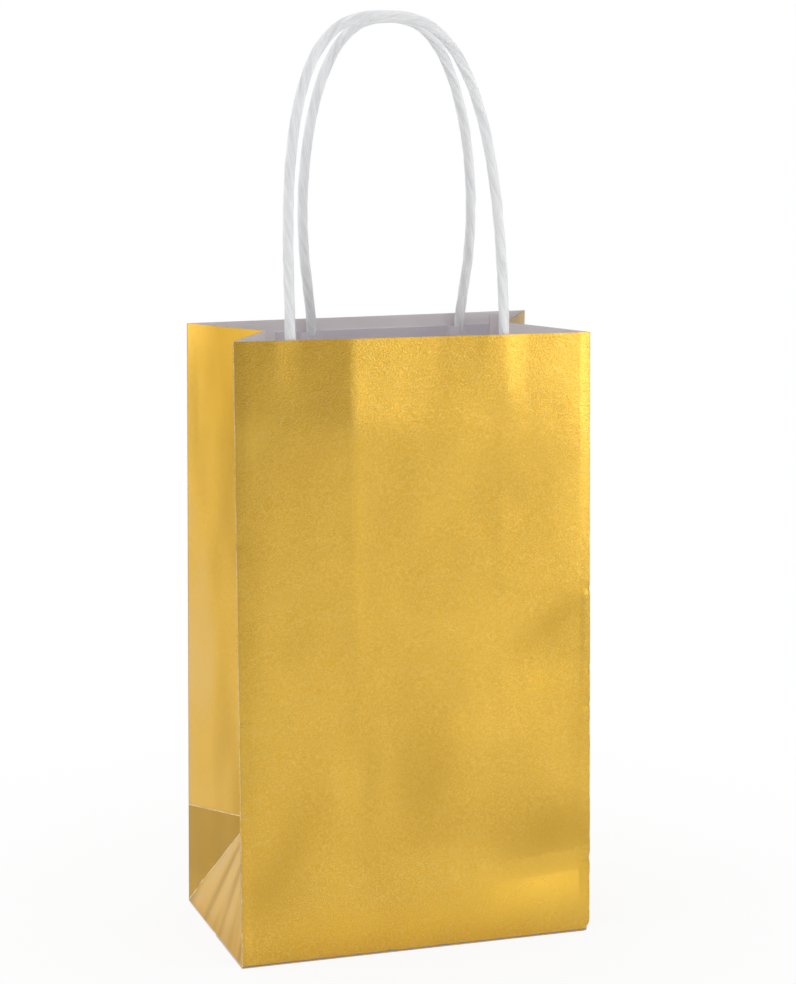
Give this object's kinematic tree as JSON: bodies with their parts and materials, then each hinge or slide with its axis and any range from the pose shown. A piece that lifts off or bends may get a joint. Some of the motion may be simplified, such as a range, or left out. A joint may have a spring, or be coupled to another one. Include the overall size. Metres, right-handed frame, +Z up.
{
  "type": "gift bag",
  "caption": "Small upright paper gift bag with folded side gussets, a flat glued base, and twisted-paper handles that swing on glued patches.",
  "frame": {"origin": "on the standing surface, under the middle of the object's bounding box", "axes": "+Z up, +Y towards the back panel, +X to the right when the front panel is seen"},
  "size_m": [0.133, 0.075, 0.3331],
  "materials": {
    "foil_paper": "satin",
    "white_paper": "matte",
    "patch_paper": "matte",
    "twisted_cord": "matte"
  },
  "bodies": {
    "bag": {"back_panel": "foil_paper", "left_gusset": "foil_paper", "right_gusset": "foil_paper", "seam_lap": "white_paper", "bottom_front_flap": "foil_paper", "bottom_rear_flap": "foil_paper", "bottom_left_tuck": "white_paper", "bottom_right_tuck": "white_paper", "rear_patch_backing": "patch_paper", "rear_patch_cover": "patch_paper", "rear_handle_ends": "twisted_cord"},
    "front_wall": {"front_panel": "foil_paper", "front_patch_backing": "patch_paper", "front_patch_cover": "patch_paper", "front_handle_ends": "twisted_cord"},
    "front_arch": {"front_handle": "twisted_cord"},
    "rear_arch": {"rear_handle": "twisted_cord"}
  },
  "joints": [
    {"name": "mouth_squeeze", "type": "hinge", "parent": "bag", "child": "front_wall", "pos_m": [0, -0.0375, 0.00075], "axis": [-1, 0, 0], "range_deg": [-2.9, 5], "deforming": ["left_gusset", "right_gusset"]},
    {"name": "front_handle_swing", "type": "hinge", "parent": "front_wall", "child": "front_arch", "pos_m": [-0.0058, -0.02293, 0.22249], "axis": [1, 0, 0], "range_deg": [-6, 90]},
    {"name": "rear_handle_swing", "type": "hinge", "parent": "bag", "child": "rear_arch", "pos_m": [0.0096, 0.03505, 0.22262], "axis": [-1, 0, 0], "range_deg": [-6, 90]}
  ]
}
